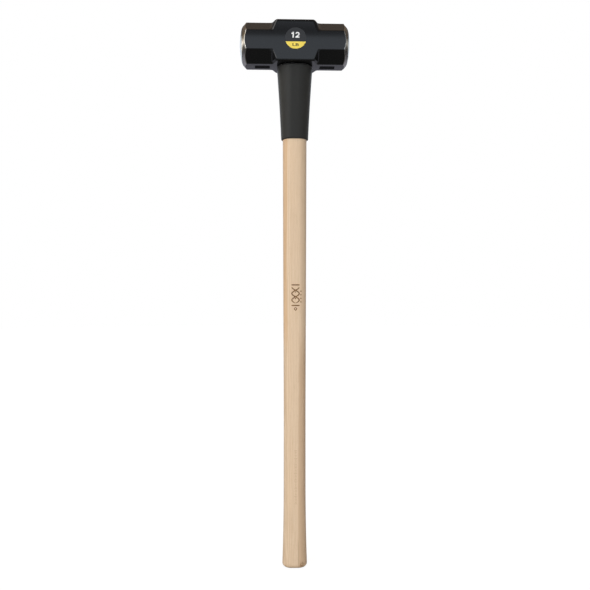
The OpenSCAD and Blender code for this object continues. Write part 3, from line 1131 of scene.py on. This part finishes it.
# ---------------------------------------------------------------- camera, floor and light
def add_camera():
    """A level camera at mid height, a touch to the left of the front."""
    back = Vector((math.sin(CAMERA_TURN), -math.cos(CAMERA_TURN), 0))
    right = Vector((math.cos(CAMERA_TURN), math.sin(CAMERA_TURN), 0))
    data = bpy.data.cameras.new("camera")
    data.lens = CAMERA_LENS
    data.sensor_width = CAMERA_SENSOR
    camera = link_object("camera", data)
    camera.location = back * CAMERA_DISTANCE + right * CAMERA_ASIDE + Vector((0, 0, CAMERA_HEIGHT))
    camera.rotation_euler = (-back).to_track_quat("-Z", "Y").to_euler()
    bpy.context.scene.camera = camera


def add_floor():
    """A round floor whose rows spread out from under the butt, by the square of their place."""
    floor_r = 9000
    below = 0.05
    turn = np.linspace(0, 2 * math.pi, 64, endpoint=False)[None, :]
    reach = (np.linspace(0, 1, 12) ** 2 * floor_r)[:, None]
    points = np.stack([reach * np.cos(turn), reach * np.sin(turn), 0 * reach * turn - below], -1)
    floor = make_mesh("floor", points, grid_faces(len(points), turn.size))
    floor.data.materials.append(pale_floor())
    floor.visible_glossy = False
    floor.visible_diffuse = False


def add_light(name, place, size, power, colour, glossy=False):
    """A soft panel of light aimed at the middle of the tool."""
    data = bpy.data.lights.new(name, "AREA")
    data.shape = "RECTANGLE"
    data.size, data.size_y = size
    data.energy = power
    data.color = colour
    lamp = link_object(name, data)
    lamp.location = place
    aim = Vector((0, 0, 0.5)) - Vector(place)
    lamp.rotation_euler = aim.to_track_quat("-Z", "Y").to_euler()
    lamp.visible_glossy = glossy


def add_room_light():
    """A white surround, and a studio of soft bands for what the surfaces reflect.

    The bands go by direction. A bright strip runs all round a little above level. It is cool
    at the front and back, warmer at the left and dim at the right, and at both sides it has a
    brighter band along its lower half. Over it is a ceiling, dark and cool at first and warmer
    overhead, with its own warm tone at each side. Just below the strip it is dark, and darkest
    at both sides. Then comes a soft grey fill, and it darkens again towards the floor."""
    world = bpy.data.worlds.new("studio")
    bpy.context.scene.world = world
    w = Nodes(world)
    direction = w.node("ShaderNodeTexCoord", output="Generated")
    x, y, z = w.parts(direction)
    left = (-x).rise(0.55, 0.9)
    right = x.rise(0.55, 0.9)
    side = left.at_least(right)
    back = y.rise(-0.1, 0.4)
    strip = z.rise(0.06, 0.20) * (1.0 - z.rise(0.366, 0.386))
    band = z.rise(0.09, 0.15) * (1.0 - z.rise(0.22, 0.30))
    strip_tone = w.mix(left, (0.93, 1.04, 1.18), w.mix(band, (0.86, 0.80, 0.69), (2.3, 2.2, 2.0)))
    strip_tone = w.mix(right, strip_tone, w.mix(band, (0.30, 0.29, 0.27), (0.80, 0.80, 0.75)))
    ceiling = w.mix(z.rise(0.45, 0.85), (0.10, 0.105, 0.12), (0.34, 0.27, 0.21))
    ceiling = w.mix(left, ceiling, (0.20, 0.155, 0.105))
    ceiling = w.mix(right, ceiling, (0.09, 0.07, 0.05))
    fill = w.mix(back.at_least(side), (0.34, 0.37, 0.40), (0.35, 0.35, 0.405))
    low = w.mix(z.rise(-0.12, 0.06), fill, (0.12, 0.115, 0.11))
    dip = abs(x).rise(0.68, 0.84) * z.rise(-0.34, -0.2) * (1.0 - z.rise(0.02, 0.1))
    low = w.mix(dip * 0.95, low, (0.02, 0.018, 0.015))
    low = w.mix(1.0 - z.rise(-0.62, -0.36), low, (0.085, 0.085, 0.075))
    light = w.mix(z.rise(0.30, 0.32), low, ceiling)
    light = w.mix(strip, light, strip_tone)
    seen = w.node("ShaderNodeLightPath", output="Is Camera Ray")
    light = w.mix(seen, light, (1.0, 1.0, 1.0))
    glow = w.node("ShaderNodeBackground", inputs={"Color": light, "Strength": 1.0})
    w.join(glow, "ShaderNodeOutputWorld")


def add_studio():
    """Camera, floor, surround and the soft panels."""
    add_camera()
    add_floor()
    add_room_light()
    add_light("key_left", (-1.25, -1.6, 1.9), (1.9, 1.9), 23, (1.0, 0.985, 0.96), True)
    add_light("low_front", (-0.4, -1.7, 0.08), (1.8, 0.8), 26, (1.0, 0.985, 0.965))
    add_light("side_left", (-1.8, -0.5, 0.3), (1.0, 1.0), 8, (1.0, 0.985, 0.965))
    add_light("fill_right", (1.8, -0.7, 0.2), (1.2, 1.0), 11, (1.0, 0.97, 0.93))
    add_light("rim_back", (0.9, 2.0, 1.5), (1.6, 1.6), 18, (1.0, 0.99, 0.98))
    bpy.context.scene.view_settings.view_transform = "Standard"


# ---------------------------------------------------------------- pieces
def place_piece(piece, material, slot_name, *cad_nodes):
    """Gives a finished piece its material and body, and hides the CAD nodes it stands for. The
    slot name is not used.
    """
    piece.data.materials.clear()
    piece.data.materials.append(material)
    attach(piece, "root")
    if cad_nodes:
        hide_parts(*cad_nodes)


def make_head():
    """The painted body with its eye, and the two ground ends."""
    body = head_body("head_body")
    cut(body, eye_cutter(), crease=28)
    place_piece(body, black_paint(), "head_paint", "head")
    steel = ground_steel()
    for name, side in (("striking_face_left", -1), ("striking_face_right", 1)):
        place_piece(striking_face(name, side), steel, "face_steel", "head")


def cut_steel_slots(piece):
    """Opens the two slots that the steel wedges sit in."""
    for side in (-1, 1):
        cut(piece, steel_wedge_piece("slot_cutter", side, past=SLOT_PAST), crease=40)


def make_handle():
    """The shaft with its slots, and the three wedges driven into them."""
    points = oval_sweep(*shaft_profile(), 36, 8)
    shaft = make_mesh("handle_shaft", points, grid_faces(len(points), points.shape[1]), 40)
    cut(shaft, wood_wedge_piece("slot_cutter", past=SLOT_PAST, reach=SLOT_PAST), crease=40)
    cut_steel_slots(shaft)
    place_piece(shaft, handle_wood(), "handle_wood", "handle")
    wedge = wood_wedge_piece("wood_wedge_key")
    cut_steel_slots(wedge)
    place_piece(wedge, wedge_wood(), "wedge_wood", "wood_wedge")
    steel = wedge_steel()
    for name, side in (("left", -1), ("right", 1)):
        piece = steel_wedge_piece(f"cross_wedge_{name}", side, grow=-0.02)
        place_piece(piece, steel, "wedge_steel", f"steel_wedge_{name}")


def make_guard():
    """The rubber sleeve under the head."""
    points = oval_sweep(*guard_profile(), 44, 10)
    faces = grid_faces(len(points), points.shape[1], loop_rows=True)
    sleeve = make_mesh("guard_sleeve", points, faces, 50)
    place_piece(sleeve, guard_rubber(), "guard_rubber", "overstrike_guard")


def make_label():
    """The round weight label: dark film, a yellow bowl, a rule, a number and a unit.

    Each print's back lies inside the film under it, and its front stands a hair proud."""
    radius = (LABEL_BOX[1][0] - LABEL_BOX[0][0]) / 2
    thick = -LABEL_BOX[0][1] - HEAD_HALF_W
    back = thick - 0.12
    chord = LABEL_Z - CHORD_DROP
    rule = chord + np.array(RULE_RANGE)
    unit = chord + np.array(UNIT_RANGE)
    number = number_paths(*NUMBER_RANGE, NUMBER_WEIGHT)
    layers = (
        (disc_film("label_disc", radius, -0.05, thick - 0.08),
         ("label_black", (0.0085, 0.0092, 0.0112), (0.0125, 0.0132, 0.0158), 0.42, 0.4)),
        (bowl_film("label_bowl", BOWL_HALF_CHORD, BOWL_DEPTH, chord, back, thick - 0.04),
         ("label_yellow", (0.79, 0.61, 0.088), (0.85, 0.66, 0.112), 0.55, 0.1)),
        (rule_film("label_rule", *rule, back, thick - 0.05),
         ("label_rule_black", (0.006, 0.006, 0.007), (0.009, 0.009, 0.010), 0.5, 0.4)),
        (cheek_strips("label_number", number, NUMBER_WEIGHT, NUMBER_SLANT, back, thick - 0.02),
         ("label_white", (0.86, 0.86, 0.85), (0.92, 0.92, 0.91), 0.45, 0.2)),
        (lettering("label_unit", "LB", *unit, thick - 0.06, thick - 0.01),
         ("label_ink", (0.050, 0.040, 0.012), (0.070, 0.056, 0.018), 0.5, 0.2)))
    for piece, ink in layers:
        place_piece(piece, label_print(*ink), "label_film", "weight_label")


def make_marks():
    """The burnt twist on the neck and the faint ticks on the grip."""
    deep = ("burnt_deep", (0.115, 0.050, 0.016), (0.25, 0.130, 0.050))
    faint = ("burnt_faint", (0.42, 0.27, 0.16), (0.54, 0.39, 0.26))
    for name, strokes, finish in (("burnt_twist", twist_mark(), deep),
                                  ("burnt_ticks", rule_ticks(), faint)):
        grids = [burnt_stroke(*stroke) for stroke in strokes]
        place_piece(join_grids(name, grids, crease=60), burnt_wood(*finish), "handle_wood")


add_studio()
make_head()
make_handle()
make_guard()
make_label()
make_marks()
